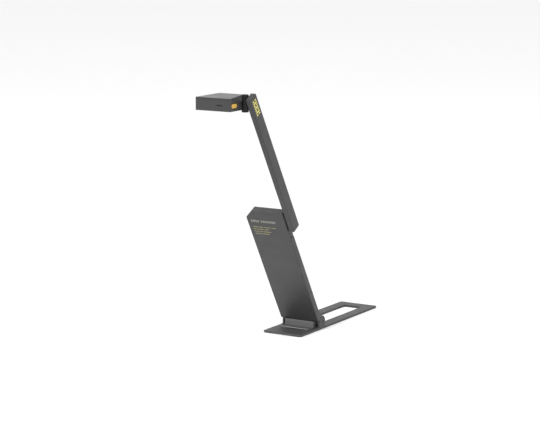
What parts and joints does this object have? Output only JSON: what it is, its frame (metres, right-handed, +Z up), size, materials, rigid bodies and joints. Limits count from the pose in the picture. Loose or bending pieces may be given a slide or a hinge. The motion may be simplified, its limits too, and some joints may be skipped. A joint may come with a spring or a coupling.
{
  "type": "book scanner",
  "caption": "Folding portable book scanner: slotted flat base, leaning hinged stand, folding side arm and a tilting camera head with a push button.",
  "frame": {"origin": "underside of the base pad, midway across the base, straight under the stand's hinge axis", "axes": "+Z up, +X to the arm's side, -Y towards the page that is scanned"},
  "size_m": [0.0716, 0.4055, 0.3626],
  "materials": {
    "base_paint": "fine textured powder coat, dark grey",
    "rubber_pad": "matt grip rubber",
    "hinge_casting": "satin painted casting, dark grey",
    "inner_casting": "zinc-like die casting, blackened",
    "elbow_casting": "anodised dark grey",
    "stand_shell": "fine moulded texture, dark grey",
    "rear_shell": "fine moulded texture, darker grey",
    "arm_shell": "fine moulded texture, dark grey",
    "arm_inner": "fine moulded texture, dark grey",
    "head_top": "fine moulded texture, mid grey",
    "head_shell": "fine moulded texture, dark grey",
    "neck_black": "smooth black nylon",
    "bearing_plastic": "smooth low-friction plastic",
    "steel": "turned or pressed steel",
    "screw_steel": "blackened steel",
    "mesh_steel": "fine black mesh",
    "bush_bronze": "sintered bronze",
    "board": "green circuit board",
    "ribbon": "amber flat lead",
    "window_glass": "polished cover glass",
    "lens_black": "matt black",
    "lamp_diffuser": "milky diffuser",
    "bezel_gloss": "gloss black rim",
    "button_orange": "satin orange-yellow"
  },
  "bodies": {
    "base": {"base_plate": "base_paint", "base_grip_pad": "rubber_pad", "hinge_block": "hinge_casting", "hinge_ear_right": "hinge_casting", "hinge_ear_left": "hinge_casting", "hinge_pin_right": "steel", "hinge_pin_left": "steel", "hinge_friction_discs": "bearing_plastic", "hinge_wave_washers": "steel", "base_screws": "screw_steel"},
    "stand": {"stand_front_shell": "stand_shell", "stand_rear_cover": "rear_shell", "stand_hinge_bracket": "inner_casting", "stand_stiffener": "steel", "stiffener_screws": "screw_steel", "control_board": "board", "signal_inlet": "steel", "stand_ribbon": "ribbon", "cover_screws": "screw_steel", "elbow_housing": "elbow_casting", "elbow_cap": "rear_shell", "elbow_washer": "bearing_plastic"},
    "arm": {"elbow_disc_springs": "steel", "elbow_nut": "steel", "elbow_shaft": "steel", "arm_shell": "arm_shell", "arm_cover": "arm_inner", "arm_spine": "steel", "arm_ribbon": "ribbon", "arm_screws": "screw_steel", "tilt_bush": "bush_bronze"},
    "neck": {"tilt_knuckle": "neck_black", "tilt_washer": "bearing_plastic", "tilt_disc_springs": "steel", "tilt_nut": "steel"},
    "head": {"head_top_cover": "head_top", "head_bottom_cover": "head_shell", "head_hinge_lug": "neck_black", "swivel_pin": "steel", "swivel_washers": "bearing_plastic", "swivel_cap": "neck_black", "lens_window": "window_glass", "lens_barrel": "lens_black", "lens_holder": "lens_black", "sensor_board": "board", "lamp_lens": "lamp_diffuser", "lamp_board": "board", "microphone_mesh": "mesh_steel", "button_bezel": "bezel_gloss", "tact_switch": "lens_black", "button_board": "board", "head_screws": "screw_steel"},
    "button": {"shutter_button": "button_orange"}
  },
  "joints": [
    {"name": "stand_tilt", "type": "hinge", "parent": "base", "child": "stand", "pos_m": [0, 0, 0.0116], "axis": [-1, 0, 0], "range_deg": [0, 120]},
    {"name": "arm_fold", "type": "hinge", "parent": "stand", "child": "arm", "pos_m": [0.0363, -0.09411, 0.16681], "axis": [1, 0, 0], "range_deg": [0, 177]},
    {"name": "head_tilt", "type": "hinge", "parent": "arm", "child": "neck", "pos_m": [0.0325, -0.20183, 0.35288], "axis": [-1, 0, 0], "range_deg": [-90, 56]},
    {"name": "head_swivel", "type": "hinge", "parent": "neck", "child": "head", "pos_m": [0.0269, -0.20403, 0.35288], "axis": [0, 0, 1], "range_deg": [-20, 20]},
    {"name": "button_press", "type": "slide", "parent": "head", "child": "button", "axis": [-1, 0, 0], "range_m": [0, 0.0008], "stiffness_N_per_m": 400, "springref_m": -0.0003}
  ]
}
